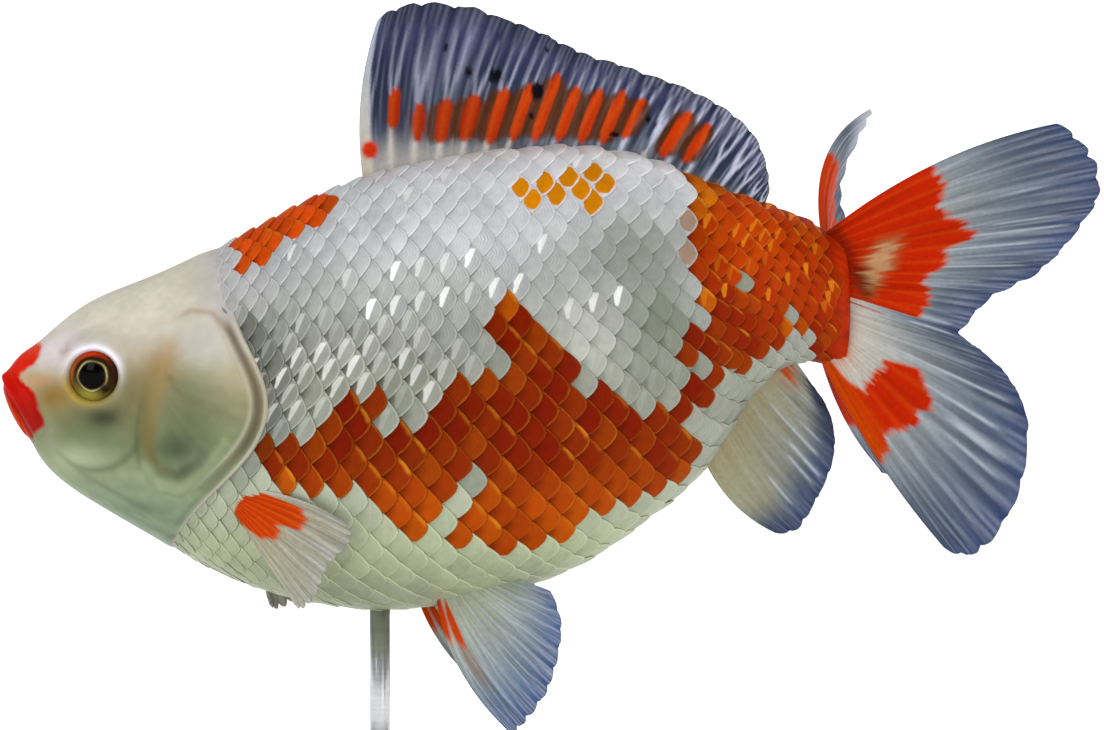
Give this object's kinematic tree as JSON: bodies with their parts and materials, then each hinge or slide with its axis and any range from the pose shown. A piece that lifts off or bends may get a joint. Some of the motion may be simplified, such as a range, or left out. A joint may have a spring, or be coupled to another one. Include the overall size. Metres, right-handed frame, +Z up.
{
  "type": "goldfish",
  "caption": "Life-size museum model of a deep-bodied fancy goldfish with a double tail, white with orange patches, on a plain rod stand.",
  "frame": {"origin": "middle of the stand base's underside, on the floor under the rod", "axes": "+X from head to tail along the fish, -Y the fish's left side, +Z up"},
  "size_m": [0.1631, 0.076, 0.1275],
  "materials": {
    "skin": "wet scaled skin, silver white with orange patches",
    "scales": "overlapping glossy scales, silver white or orange",
    "lips": "wet red-orange skin",
    "fin": "thin rayed membrane, slate blue and whitish with orange marks",
    "eye": "glossy dark eye with a thin gold ring",
    "ebony": "dark satin wood",
    "steel": "satin brushed steel"
  },
  "bodies": {
    "root": {"head": "skin", "upper_lip": "lips", "lower_lip": "lips", "trunk": "skin", "tail_stem": "skin", "gill_cover_left": "skin", "eye_left": "eye", "gill_cover_right": "skin", "eye_right": "eye", "dorsal_fin": "fin", "anal_fin": "fin", "pelvic_fin_left": "fin", "pelvic_fin_right": "fin", "pectoral_fin_left": "fin", "pectoral_fin_right": "fin", "tail_fin_left_upper": "fin", "tail_fin_left_lower": "fin", "tail_fin_right_upper": "fin", "tail_fin_right_lower": "fin", "stand_base": "ebony", "stand_rod": "steel", "stand_collar": "steel"}
  },
  "joints": []
}
